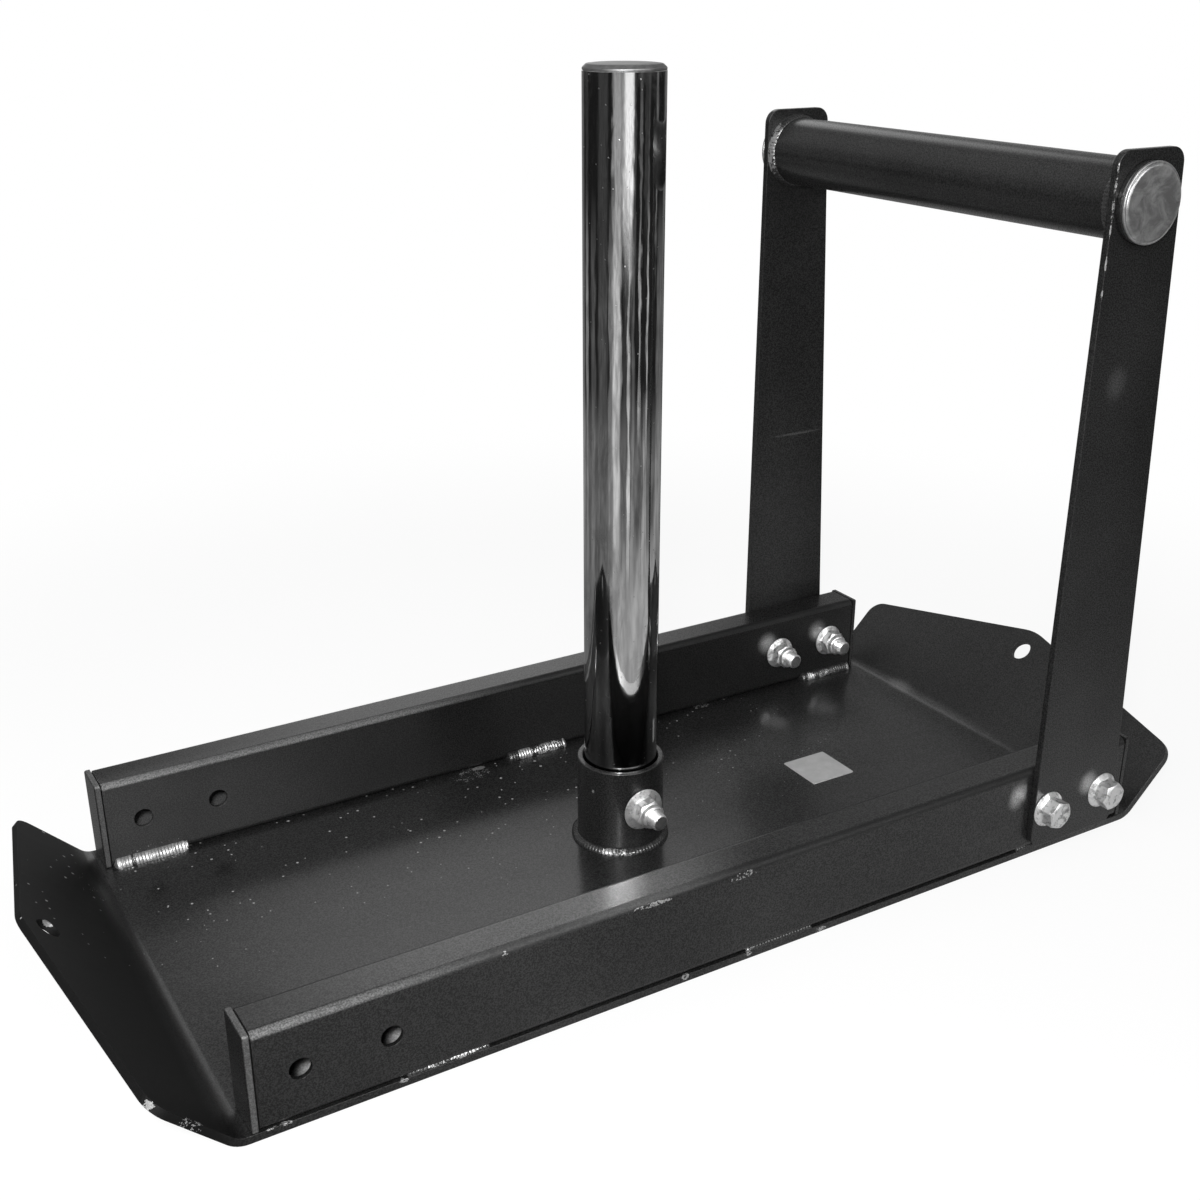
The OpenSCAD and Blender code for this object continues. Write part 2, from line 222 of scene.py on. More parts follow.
def powderCoat(name, worn=(), paintedLight=(), **changes):
    # worn lists (point, size, amount) of places where the paint is chipped, in metres,
    # and the next list holds the same of places given painted light, painted highlights and painted
    # reflections
    s = {**paint, **changes}
    material, kit = newMaterial(name)
    place = kit.place()
    x, y, z = kit.split(place)
    clouds = kit.noise(place, s["cloud"], 4.0, 0.6)
    streaks = kit.noise(kit.vector("MULTIPLY", place, (1.0, 3.0, 1.0)), s["streak"], 3.0, 0.6)
    grain = kit.noise(place, s["grain"], 1.0, 0.6)
    pores = kit.noise(place, s["grain"] * 2.6, 2.0, 0.5)
    texture = grain.step(0.3, 0.72)
    level = (s["level"] + clouds.step(0.35, 0.7) * s["mottle"]) * (0.55 + texture * 0.9)
    roughness = s["roughness"] + clouds.span(-0.02, 0.03) + streaks.span(-0.02, 0.02)
    sheen = s["sheen"] * (0.55 + texture * 0.9) * (0.88 + streaks * 0.24)
    turn = kit.split(kit.node("NewGeometry", {}, {}, out="Normal"))
    if s["rim"] > 0:
        sideways = 1 - abs(turn[0]).step(0.3, 0.8)
        # painted light on the faces that look sideways or up
        level = level + sideways * (0.5 + clouds * 0.5 + texture * 0.5) * s["rim"]
    if s["rub"] > 0:
        outer, shaded, rubbed = paintedEdgeLight(s, turn, (x, y, z), texture, clouds)
        # painted highlight on the round top edges facing -Y, painted shade on those facing +Y
        level = (level + rubbed) * (1 - shaded * 0.6)
        sheen = sheen * (1 - shaded * 0.85) * (1 - outer * 0.7)
        roughness = roughness + (shaded + outer * 0.7) * 0.45
    if s["dim"] > 0:
        sheen = sheen * (1 - (1 - x.step(*s["dimEnd"])) * s["dim"])
    if s["dull"] > 0:
        ramp = 1 - x.step(*s["frontRamp"])
        # painted shade on the front ramp, with less sheen and more roughness
        level = level * (1 - ramp * s["dull"] * 0.95)
        sheen = sheen * (1 - ramp * s["dull"])
        roughness = roughness + abs(x).step(*s["ramps"]) * 0.16 + ramp * 0.3
    # painted light, painted highlights and painted reflections added to the paint's level
    for point, size, amount in paintedLight:
        lightPool = kit.near(point, size).step(0.0, 0.9) * (0.55 + clouds * 0.5 + streaks * 0.4)
        level = level + lightPool * (0.75 + texture * 0.5) * amount
    chips = kit.noise(place, s["chip"], 2.0, 0.7) - 0.5
    ragged = kit.noise(place, s["ragged"], 3.0, 0.7) - 0.5
    bare = None
    for point, size, amount in worn:
        spot = (kit.near(point, size) * 2.2).step(0.0, 1.0)
        mask = (spot * amount + chips * 1.5 + ragged * 1.1).step(0.62, 0.7) * spot.step(0.0, 0.3)
        bare = mask if bare is None else bare.math("MAXIMUM", mask)
    colour = kit.grey(level)
    metallic = 0.0
    if s["dust"] > 0:
        colour = kit.mix(dustSpecks(kit, s, place, x, y, chips) * s["dust"], colour, (0.3, 0.3, 0.3))
    height = grain * 0.75 + pores * 0.6
    if bare is not None:
        steelLevel = kit.noise(place, 0.004, 3.0, 0.6).span(0.35, 1.0) * s["bareSteel"]
        colour = kit.mix(bare, colour, kit.grey(steelLevel))
        metallic = bare * 0.75
        roughness = roughness * (1 - bare) + bare * 0.42
        sheen = sheen * (1 - bare)
        height = height - bare * 4
    waves = kit.bump(kit.noise(place, s["wave"], 1.0, 0.4), 1.0, s["waveDepth"])
    if s["dish"] > 0:
        flat = 1 - abs(x).step(*s["dishEnd"])
        waves = kit.bump(abs(y).step(*s["dishFrom"]) * flat, 1.0, s["dish"], waves)
    normal = kit.bump(height, 1.0, s["grainDepth"], waves)
    kit.finish({"Base Color": colour, "Metallic": metallic, "Roughness": roughness,
                "Specular IOR Level": s["specular"], "Coat Weight": sheen,
                "Coat Roughness": s["sheenRoughness"], "Normal": normal})
    return material


# Metals

chromeLook = dict(
    level=0.86,
    roughness=0.03,
    scratch=0.0011,  # how far apart the long scratches are
    scratchDepth=0.00004,
    ripple=0.009,  # size of the waves round the tube
    rippleDepth=0.00024,
    smudge=0.02,
    wipe=0.012,  # size of the dull streaks that wiping leaves
    pit=0.006,  # how far apart the pits are
    foot=(0.08, 0.125),  # heights between which the painted shade at the foot of the post turns to clean plate
    footShadeLevel=0.35,
)


def chromePlate(name):
    s = chromeLook
    material, kit = newMaterial(name)
    place = kit.place()

    def drawnOut(share):  # the place with its height shrunk, for streaks along the tube
        return kit.vector("MULTIPLY", place, (1.0, 1.0, share))

    scratches = kit.noise(drawnOut(0.04), s["scratch"], 3.0, 0.7)
    ripple = kit.noise(drawnOut(0.09), s["ripple"], 2.0, 0.5)
    smudges = kit.noise(drawnOut(0.5), s["smudge"], 5.0, 0.72, 0.6)
    wiped = kit.noise(drawnOut(0.16), s["wipe"], 4.0, 0.7, 0.5)
    pit = 1 - kit.cells(place, s["pit"], flat=False).step(0.05, 0.1)
    roughness = s["roughness"] + smudges.step(0.5, 0.75) * 0.15 + scratches.step(0.62, 0.8) * 0.1
    roughness = roughness + pit * 0.3 + wiped.step(0.5, 0.7) * 0.06
    level = s["level"] - smudges.step(0.5, 0.8) * 0.24 - scratches.step(0.6, 0.8) * 0.12
    level = level * (1 - wiped.step(0.48, 0.72) * 0.35)
    # painted shade at the foot of the post
    level = level * kit.split(place)[2].step(*s["foot"]).span(s["footShadeLevel"], 1.0)
    slow = kit.bump(ripple, 1.0, s["rippleDepth"])
    normal = kit.bump(scratches * 0.5 - pit, 0.5, s["scratchDepth"], slow)
    kit.finish({"Base Color": kit.grey(level), "Metallic": 1.0, "Roughness": roughness,
                "Normal": normal})
    return material


zincLook = dict(level=0.92, roughness=0.27, cloud=0.006, dent=0.0024, stain=0.0045, depth=0.00014)


def zincPlate(name):
    s = zincLook
    material, kit = newMaterial(name)
    place = kit.place()
    clouds = kit.noise(place, s["cloud"], 4.0, 0.65)
    fine = kit.noise(place, 0.0007, 2.0, 0.6)
    dents = kit.noise(place, s["dent"], 2.0, 0.6)
    stains = kit.noise(place, s["stain"], 3.0, 0.6, 0.4).step(0.48, 0.66)
    level = s["level"] - stains * 0.5 - clouds.step(0.5, 0.8) * 0.25
    roughness = s["roughness"] + clouds.span(0.0, 0.24) + stains * 0.12
    normal = kit.bump(fine * 0.3 + dents + clouds, 0.8, s["depth"])
    kit.finish({"Base Color": kit.grey(level), "Metallic": 0.9, "Roughness": roughness,
                "Normal": normal})
    return material


steelLook = dict(roughness=0.38, cloud=0.012, brush=0.0012, spot=0.0028, depth=0.00005)


def bareSteel(name, level, mottle):
    s = steelLook
    material, kit = newMaterial(name)
    place = kit.place()
    clouds = kit.noise(place, s["cloud"], 5.0, 0.68, 0.8)
    brushed = kit.noise(kit.vector("MULTIPLY", place, (1.0, 1.0, 7.0)), s["brush"], 2.0, 0.6)
    spots = kit.noise(place, s["spot"], 3.0, 0.7)
    shade = level + clouds.step(0.35, 0.7) * mottle - spots.step(0.6, 0.8) * 0.1
    shade = shade + brushed.span(-0.03, 0.03)
    roughness = s["roughness"] + clouds.span(0.0, 0.16)
    normal = kit.bump(brushed + spots * 0.6, 0.5, s["depth"])
    kit.finish({"Base Color": kit.grey(shade), "Metallic": 0.9, "Roughness": roughness,
                "Normal": normal})
    return material


filmLook = dict(level=0.43, metallic=0.12, roughness=0.5, cloud=0.008, grain=0.0005, depth=0.00003)


def labelFilm(name):
    s = filmLook
    material, kit = newMaterial(name)
    place = kit.place()
    clouds = kit.noise(place, s["cloud"], 3.0, 0.6)
    fine = kit.noise(place, s["grain"], 2.0, 0.6)
    level = s["level"] + clouds.span(-0.1, 0.1) + fine.span(-0.03, 0.03)
    kit.finish({"Base Color": kit.grey(level), "Metallic": s["metallic"],
                "Roughness": s["roughness"] + clouds * 0.1, "Normal": kit.bump(fine, 0.4, s["depth"])})
    return material


# Mesh helpers

def addPiece(name, bm, material, node, angle=35, extra=()):
    # Makes the piece from bm in place of the node; faces are parted where they meet at more than the angle
    mesh = bpy.data.meshes.new(name)
    bmesh.ops.recalc_face_normals(bm, faces=bm.faces)
    bm.to_mesh(mesh)
    bm.free()
    for m in (material, *extra):
        mesh.materials.append(m)
    mesh.shade_smooth()
    mesh.set_sharp_from_angle(angle=math.radians(angle))
    piece = bpy.data.objects.new(name, mesh)
    scene.collection.objects.link(piece)
    even = piece.modifiers.new("evenNormals", "WEIGHTED_NORMAL")  # keeps big flat faces flat
    even.keep_sharp = True
    even.weight = 90
    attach(piece, "root")
    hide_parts(node)
    return piece


def cadShape(node):
    # The node's own mesh with its flat faces made whole
    bm = bmesh.new()
    bm.from_mesh(nodes[node].data)
    bmesh.ops.remove_doubles(bm, verts=bm.verts, dist=0.000002)
    bmesh.ops.dissolve_limit(bm, angle_limit=math.radians(0.4), verts=bm.verts, edges=bm.edges)
    return bm


def softEdges(bm, width, segments, keep, angle=28):
    # Rounds every edge sharper than the angle, apart from those to keep
    sharp = [e for e in bm.edges if len(e.link_faces) == 2 and e.calc_face_angle(0) > math.radians(angle)]
    sharp = [e for e in sharp if not keep(e)]
    bmesh.ops.bevel(bm, geom=sharp, offset=width, segments=segments, profile=0.5,
                    affect="EDGES", clamp_overlap=True)
    return bm


def ringSurface(bm, rings, capped=False):
    # Faces between rings of points, each ring a list of vectors
    rows = [[bm.verts.new(p) for p in ring] for ring in rings]
    count = len(rows[0])
    for a, b in zip(rows, rows[1:]):
        for i in range(count):
            j = (i + 1) % count
            bm.faces.new((a[i], a[j], b[j], b[i]))
    if capped:
        bm.faces.new(rows[0])
        bm.faces.new(rows[-1])
    return rows


def turned(bm, profile, segments, matrix):
    # A round part from (radius, height) points along the matrix's Z
    rings = []
    for radius, height in profile:
        ring = []
        for i in range(segments):
            a = 2 * math.pi * i / segments
            ring.append(matrix @ Vector((radius * math.cos(a), radius * math.sin(a), height)))
        rings.append(ring)
    ringSurface(bm, rings, capped=True)


def alongY(x, y, z, direction):
    # Z of the part points along Y in the direction given as 1 or -1
    return Matrix.Translation((x, y, z)) @ Matrix.Rotation(math.radians(-90 * direction), 4, "X")


def roundedSteps(points, radius, count=4):
    # (radius, height) profile with its inner corners turned into small arcs
    out = [points[0]]
    for a, b, c in zip(points, points[1:], points[2:]):
        a, b, c = Vector(a), Vector(b), Vector(c)
        r = min(radius, (a - b).length / 2.2, (c - b).length / 2.2)
        p, q = b + (a - b).normalized() * r, b + (c - b).normalized() * r
        for i in range(count + 1):
            t = i / count
            out.append(tuple(p * (1 - t) ** 2 + b * (2 * t * (1 - t)) + q * t * t))
    out.append(points[-1])
    return out


print("materials")
panWorn = [
    ((-0.3835, 0.0065, 0.0585), (0.005, 0.0045, 0.005), 1.2),
    ((-0.3755, -0.163, 0.0448), (0.007, 0.007, 0.007), 0.8),
    ((-0.357, -0.165, 0.024), (0.012, 0.004, 0.011), 0.5),
    ((-0.31, -0.165, 0.0055), (0.012, 0.003, 0.003), 0.62),
    ((-0.238, -0.165, 0.004), (0.004, 0.003, 0.002), 0.75),
    ((-0.052, -0.165, 0.004), (0.004, 0.003, 0.003), 0.7),
    ((-0.005, -0.165, 0.004), (0.004, 0.003, 0.003), 0.7),
    ((0.052, -0.165, 0.002), (0.006, 0.003, 0.003), 0.66),
    ((-0.051, 0.129, 0.005), (0.022, 0.014, 0.004), 0.5),
    ((-0.043, 0.135, 0.005), (0.007, 0.004, 0.004), 0.9),
    ((0.165, 0.138, 0.005), (0.012, 0.006, 0.004), 0.6),
    ((-0.345, 0.1, 0.012), (0.02, 0.03, 0.02), 0.3),
]
# painted light on the pan: a lighter patch right of the post and a painted highlight along the rear fold
panPaintedLight = [
    ((0.16, 0.045, 0.005), (0.13, 0.06, 0.02), 0.022),
    ((0.331, 0.05, 0.006), (0.0075, 0.13, 0.008), 0.035),
    ((0.332, 0.08, 0.007), (0.008, 0.02, 0.009), 0.05),
]
panPaint = powderCoat("panPowderCoat", panWorn, panPaintedLight, dust=1.0, dish=0.004, dull=0.97)
railWorn = [
    ((-0.174, -0.165, 0.065), (0.004, 0.003, 0.002), 0.7),
    ((-0.078, -0.165, 0.0638), (0.022, 0.003, 0.0022), 0.62),
    ((-0.011, -0.165, 0.0628), (0.018, 0.003, 0.0035), 0.52),
    ((-0.292, 0.136, 0.013), (0.03, 0.003, 0.003), 0.4),
    ((0.325, 0.15, 0.04), (0.006, 0.03, 0.03), 0.35),
]
# painted light on the rails: lighter ends of the right rail's inner face, a lighter near rail top with a
# painted reflection of the post, and painted reflections beside the bolt heads and nuts
railPaintedLight = [
    ((-0.33, 0.136, 0.04), (0.24, 0.02, 0.09), 0.024),
    ((0.34, 0.136, 0.04), (0.06, 0.02, 0.09), 0.01),
    ((-0.17, -0.15, 0.068), (0.15, 0.06, 0.006), 0.03),
    ((-0.075, -0.15, 0.068), (0.08, 0.06, 0.005), 0.05),
    ((0.23, 0.136, 0.048), (0.0115, 0.01, 0.012), 0.2),
    ((0.283, 0.136, 0.048), (0.0115, 0.01, 0.012), 0.17),
    ((0.2175, -0.165, 0.05), (0.0095, 0.01, 0.012), 0.2),
]
railPaint = powderCoat("railPowderCoat", railWorn, railPaintedLight, rub=0.13, sheen=0.75)
# the right rail's paint is a darker copy of the rail paint with less sheen: painted shade
rightRailShadedPaint = powderCoat("rightRailShadedPowderCoat", railWorn, railPaintedLight, rub=0.1, sheen=0.42,
                            level=0.0055, dim=0.45)
inside = dict(sheen=0.1, roughness=0.6)
insideLit = [  # where light falls in through the open bolt holes
    ((-0.283, -0.139, 0.015), (0.0095, 0.02, 0.0095), 0.5),
    ((-0.23, -0.139, 0.015), (0.0095, 0.02, 0.0095), 0.5),
]
leftInside = powderCoat("leftRailInside", (), insideLit, level=0.03, mottle=0.02, **inside)
rightInside = powderCoat("rightRailInside", level=0.07, mottle=0.04, **inside)
capPaint = powderCoat("capPowderCoat", rim=0.05, rub=0.1)
# darker paint in the seams between the rails and their caps: painted shade in the groove
seamShadePaint = powderCoat("seamShadePowderCoat", level=0.004, mottle=0.001, sheen=0.2, specular=0.1)
handleWorn = [
    ((0.231, -0.17, 0.45), (0.0015, 0.0015, 0.045), 0.64),
    ((0.231, -0.17, 0.408), (0.0012, 0.0012, 0.007), 0.72),
    ((0.231, -0.17, 0.389), (0.0012, 0.0012, 0.006), 0.72),
]
# painted light on the uprights: lighter patches and thin lines, and a painted reflection beside the lower
# bolt head
handlePaintedLight = [
    ((0.25, 0.165, 0.1), (0.06, 0.01, 0.2), 0.012),
    ((0.25, -0.17, 0.25), (0.05, 0.01, 0.3), 0.004),
    ((0.254, -0.17, 0.333), (0.012, 0.01, 0.015), 0.022),
    ((0.272, 0.165, 0.217), (0.034, 0.01, 0.0016), 0.04),
    ((0.281, -0.17, 0.046), (0.0105, 0.01, 0.012), 0.2),
]
handlePaint = powderCoat("handlePowderCoat", handleWorn, handlePaintedLight, level=0.0058, sheen=0.75)
socketWorn = [((-0.028, -0.011, 0.0505), (0.003, 0.003, 0.003), 1.0)]
socketPaint = powderCoat("socketPowderCoat", socketWorn)
weldWorn = [
    ((-0.3145, 0.133, 0.009), (0.009, 0.012, 0.01), 1.5),
    ((-0.288, 0.133, 0.009), (0.024, 0.012, 0.01), 1.5),
    ((-0.003, 0.133, 0.008), (0.008, 0.008, 0.006), 1.3),
    ((0.017, 0.133, 0.008), (0.018, 0.008, 0.006), 0.72),
    ((0.033, 0.133, 0.008), (0.004, 0.008, 0.006), 1.2),
    ((0.276, 0.133, 0.007), (0.006, 0.008, 0.005), 1.0),
    ((0.29, 0.133, 0.007), (0.02, 0.008, 0.005), 0.55),
    ((0.318, 0.133, 0.007), (0.004, 0.008, 0.005), 0.9),
    ((-0.208, -0.165, 0.0075), (0.03, 0.006, 0.003), 0.62),
    ((-0.004, -0.165, 0.007), (0.005, 0.006, 0.003), 0.6),
    ((-0.02, -0.027, 0.006), (0.024, 0.014, 0.006), 0.66),
    ((0.231, 0.163, 0.45), (0.015, 0.02, 0.034), 0.72),
]
weldPaint = powderCoat("weldPowderCoat", weldWorn, level=0.014, waveDepth=0.0, bareSteel=0.6)
chrome = chromePlate("chromePlate")
zinc = zincPlate("zincPlate")
steel = bareSteel("bareSteel", 0.28, 0.26)
capSteel = bareSteel("capSteel", 0.2, 0.1)
# darker steel on the bolts' end faces: painted shade
tipShadeSteel = bareSteel("tipShadeSteel", 0.2, 0.14)
film = labelFilm("labelFilm")


# Plates and rails keep the shape of their nodes, with eased edges

easedNodes = {  # piece, material and how far its edges are eased, in millimetres
    "base_pan": ("panPlate", panPaint, 0.7),
    "left_rail": ("leftRailTube", railPaint, 0.35),
    "right_rail": ("rightRailTube", rightRailShadedPaint, 0.35),
    "left_front_cap": ("leftFrontCap", capPaint, 1.5),
    "left_rear_cap": ("leftRearCap", railPaint, 1.5),
    "right_front_cap": ("rightFrontCap", capPaint, 1.5),
    "right_rear_cap": ("rightRearCap", railPaint, 1.5),
    "left_upright": ("leftUprightBar", handlePaint, 0.6),
    "right_upright": ("rightUprightBar", handlePaint, 0.6),
}
railInside = {"left_rail": leftInside, "right_rail": rightInside}
railEnd = max(abs(c.x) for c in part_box("left_rail"))
skin = 2.5 * mm  # what lies deeper than this in a rail is its inside


def atSeam(isCap, isRail):
    # Says which edges lie at the seam between a rail and its cap, and stay sharp
    def chosen(edge):
        reach = [abs(v.co.x) for v in edge.verts]
        return (isCap and max(reach) < railEnd + 2 * mm) or (isRail and min(reach) > railEnd - 1 * mm)
    return chosen


def paintInside(piece, node):
    # Gives the faces inside a rail the second material
    low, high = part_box(node)
    middle = (low + high) / 2
    for face in piece.data.polygons:
        off = face.center - middle
        if abs(off.y) < (high.y - low.y) / 2 - skin and abs(off.z) < (high.z - low.z) / 2 - skin:
            face.material_index = 1


for node, (name, material, ease) in easedNodes.items():
    isRail = node in railInside
    isCap = node.endswith("_cap")
    shape = softEdges(cadShape(node), ease * mm, 5 if isCap else 2, atSeam(isCap, isRail))
    extra = (railInside[node],) if isRail else ()
    piece = addPiece(name, shape, material, node, extra=extra)
    if isRail:
        paintInside(piece, node)
# the seams get the darker paint, as painted shade
for node in ("left_cap_seams", "right_cap_seams"):
    nodes[node].data.materials.clear()
    nodes[node].data.materials.append(seamShadePaint)
print("plates and rails")


# Post, its cap and its socket

post = dict(segments=160, footRadius=24.6, step=1.0, ease=0.3, wall=3.0)
crown = dict(inset=0.1, rim=1.4, slope=2.4, slopeDrop=0.5, top=6.0, topDrop=0.1, round=0.4)  # of the cap
socketRing = dict(wall=4.0, ease=0.6, segments=128)
hub = 0.5  # radius of the small face in the middle of a round end, in millimetres


def makePost():
    low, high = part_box("weight_post")
    x = (low.x + high.x) / 2
    radius = (high.x - low.x) / 2
    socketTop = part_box("post_socket")[1].z
    foot = socketTop + post["step"] * mm
    e = post["ease"] * mm
    inner = radius - post["wall"] * mm
    profile = [(inner, low.z), (post["footRadius"] * mm, low.z), (post["footRadius"] * mm, foot),
               (radius, foot + e), (radius, high.z - e), (radius - e, high.z), (inner, high.z)]
    bm = bmesh.new()
    turned(bm, profile, post["segments"], Matrix.Translation((x, 0, 0)))
    addPiece("postTube", bm, chrome, "weight_post", angle=30)
    low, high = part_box("post_cap")
    bm = bmesh.new()
    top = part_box("weight_post")[1].z
    edge = radius - crown["inset"] * mm
    profile = [(hub * mm, low.z), (inner, low.z), (inner, top), (edge, top), (edge, top + crown["rim"] * mm),
               (radius - crown["slope"] * mm, high.z - crown["slopeDrop"] * mm),
               (radius - crown["top"] * mm, high.z - crown["topDrop"] * mm), (hub * mm, high.z)]
    profile = roundedSteps(profile, crown["round"] * mm)
    turned(bm, profile, post["segments"], Matrix.Translation((x, 0, 0)))
    addPiece("postTopCap", bm, capSteel, "post_cap", angle=40)


def makeSocket():
    low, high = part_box("post_socket")
    x = (low.x + high.x) / 2
    outer = (high.x - low.x) / 2
    inner = outer - socketRing["wall"] * mm
    e = socketRing["ease"] * mm
    profile = [(inner, low.z), (outer, low.z), (outer, high.z - e), (outer - e, high.z),
               (inner + e, high.z), (inner, high.z - e), (inner, low.z)]
    bm = bmesh.new()
    rings = []
    count = socketRing["segments"]
    for radius, height in roundedSteps(profile, e):
        rings.append([(x + radius * math.cos(a), radius * math.sin(a), height)
                      for a in [2 * math.pi * i / count for i in range(count)]])
    ringSurface(bm, rings)
    bmesh.ops.remove_doubles(bm, verts=bm.verts, dist=0.000001)
    addPiece("socketTube", bm, socketPaint, "post_socket", angle=40)


makePost()
makeSocket()
print("post and socket")


# Weld beads

bead = dict(ripple=2.3, rippleDepth=0.22, lump=0.35, bulge=0.16, steps=8, piece=0.45, fade=2.5)
outsideSeed = 5  # what the seeds of the beads outside the rails add to those inside
railBead = dict(length=52, insideFrom=1, middle=-18, insideLeg=(5, 6), outsideFront=84, outsideMiddle=-6,
                outsideRear=96, outsideLeg=(2.1, 2.6), outsideInset=2.2)  # in millimetres
socketBead = dict(leg=(4, 3.8), seed=3.0)
tubeBead = dict(leg=(2.3, 5.6), seed=7.0)


def beadSection(leg, along, steps, phase):
    # Points of one section of a fillet bead as (out, up), for a corner at 0, 0
    points = []
    for i in range(steps + 1):
        t = i / steps
        a = t * math.pi / 2
        out, up = leg[0] * math.cos(a) ** 1.4, leg[1] * math.sin(a) ** 1.4
        crest = math.sin(2 * a)
        wave = math.sin(2 * math.pi * (along / mm + 0.9 * crest) / bead["ripple"] + phase)
        lump = noise.noise(Vector((along * 160, t * 2.0, phase)))
        swell = 1 + bead["bulge"] * crest + (bead["rippleDepth"] * wave + bead["lump"] * lump) * crest * 0.35
        points.append((out * swell, up * swell))
    return points


def straightBead(bm, start, length, out, up, leg, seed):
    # A bead along +X; out and up are the directions of its two legs
    pieces = int(length / (bead["piece"] * mm))
    rings = []
    for k in range(pieces + 1):
        s = k / pieces
        edge = min(s, 1 - s) * length / (bead["fade"] * mm)
        fade = math.sqrt(max(0.0, 1 - (1 - min(edge, 1)) ** 2)) * 0.9 + 0.1
        legs = [max(0.4 * mm, size * fade) for size in leg]
        points = beadSection(legs, s * length, bead["steps"], seed)
        ring = [start + Vector((s * length, 0, 0)) + out * p + up * q for p, q in points]
        back = -leg[0] * 0.5
        ring += [start + Vector((s * length, 0, 0)) + out * back + up * leg[1] * 0.6,
                 start + Vector((s * length, 0, 0)) + out * back]
        rings.append(ring)
    ringSurface(bm, rings, capped=True)


def ringBead(bm, matrix, radius, leg, seed, pieces=420):
    # A bead round a tube; matrix's Z points along the tube away from the plate
    rings = []
    for k in range(pieces):
        a = 2 * math.pi * k / pieces
        turns = round(2 * math.pi * radius / (bead["ripple"] * mm))
        along = a / (2 * math.pi) * turns * bead["ripple"] * mm
        points = beadSection(leg, along, bead["steps"], seed)
        ring = [(radius + p, q) for p, q in points]
        ring += [(radius - 0.6 * mm, leg[1] * 0.8), (radius - 0.6 * mm, 0)]
        rings.append([matrix @ Vector((p * math.cos(a), p * math.sin(a), q)) for p, q in ring])
    rings.append(rings[0])
    ringSurface(bm, rings)
    bmesh.ops.remove_doubles(bm, verts=bm.verts, dist=0.000001)


def makeRailWelds(side, name, node, seed):
    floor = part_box(node)[0].z
    railLow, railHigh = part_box("left_rail" if side < 0 else "right_rail")
    inner = railHigh.y if side < 0 else railLow.y
    outer = railLow.y if side < 0 else railHigh.y
    s = {key: value * mm for key, value in railBead.items() if not isinstance(value, tuple)}
    insideLeg, outsideLeg = [[leg * mm for leg in railBead[key]] for key in ("insideLeg", "outsideLeg")]
    up, out = Vector((0, 0, 1)), Vector((0, side, 0))
    bm = bmesh.new()
    insideStarts = (railLow.x + s["insideFrom"], s["middle"], railHigh.x - s["length"] - s["insideFrom"])
    for i, x in enumerate(insideStarts):
        straightBead(bm, Vector((x, inner, floor)), s["length"], -out, up, insideLeg, seed + i)
    outsideStarts = (railLow.x + s["outsideFront"], s["outsideMiddle"], railHigh.x - s["outsideRear"])
    for i, x in enumerate(outsideStarts):
        start = Vector((x, outer - side * s["outsideInset"], floor))
        straightBead(bm, start, s["length"], out, up, outsideLeg, seed + outsideSeed + i)
    addPiece(name, bm, weldPaint, node, angle=60)


def makeSocketWeld():
    low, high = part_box("post_socket")
    bm = bmesh.new()
    x = (low.x + high.x) / 2
    radius = (high.x - low.x) / 2
    leg = [part * mm for part in socketBead["leg"]]
    ringBead(bm, Matrix.Translation((x, 0, low.z)), radius, leg, socketBead["seed"])
    addPiece("socketBead", bm, weldPaint, "socket_weld", angle=60)


def makeTubeWeld(side, name, node):
    low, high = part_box("handle_tube")
    x, z = (low.x + high.x) / 2, (low.z + high.z) / 2
    radius = (high.z - low.z) / 2
    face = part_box(node)[0].y if side < 0 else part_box(node)[1].y
    bm = bmesh.new()
    leg = [part * mm for part in tubeBead["leg"]]
    ringBead(bm, alongY(x, face, z, -side), radius, leg, tubeBead["seed"] + side)
    addPiece(name, bm, weldPaint, node, angle=60)


makeRailWelds(-1, "leftRailBeads", "left_rail_welds", 1.0)
makeRailWelds(1, "rightRailBeads", "right_rail_welds", 2.0)
makeSocketWeld()
makeTubeWeld(-1, "leftTubeBead", "left_tube_weld")
makeTubeWeld(1, "rightTubeBead", "right_tube_weld")
print("welds")


# Handle tube and its plugs

tube = dict(wall=3.0, ease=0.5, segments=128)
plug = dict(depth=12.0, gap=3.1, neck=0.7, neckHeight=0.5, rimStart=0.9, rimEnd=1.5, groove=(0.7, 0.9),
            grooveFoot=(1.5, 1.2), face=(1.9, 0.5), flat=2.8, round=0.3)  # in millimetres


def makeHandleTube():
    low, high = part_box("handle_tube")
    x, z = (low.x + high.x) / 2, (low.z + high.z) / 2
    radius = (high.z - low.z) / 2
    e = tube["ease"] * mm
    length = high.y - low.y
    inner = radius - tube["wall"] * mm
    profile = [(inner, 0), (radius - e, 0), (radius, e), (radius, length - e), (radius - e, length),
               (inner, length)]
    bm = bmesh.new()
    turned(bm, profile, tube["segments"], alongY(x, low.y, z, 1))
    addPiece("handleBar", bm, handlePaint, "handle_tube", angle=40)


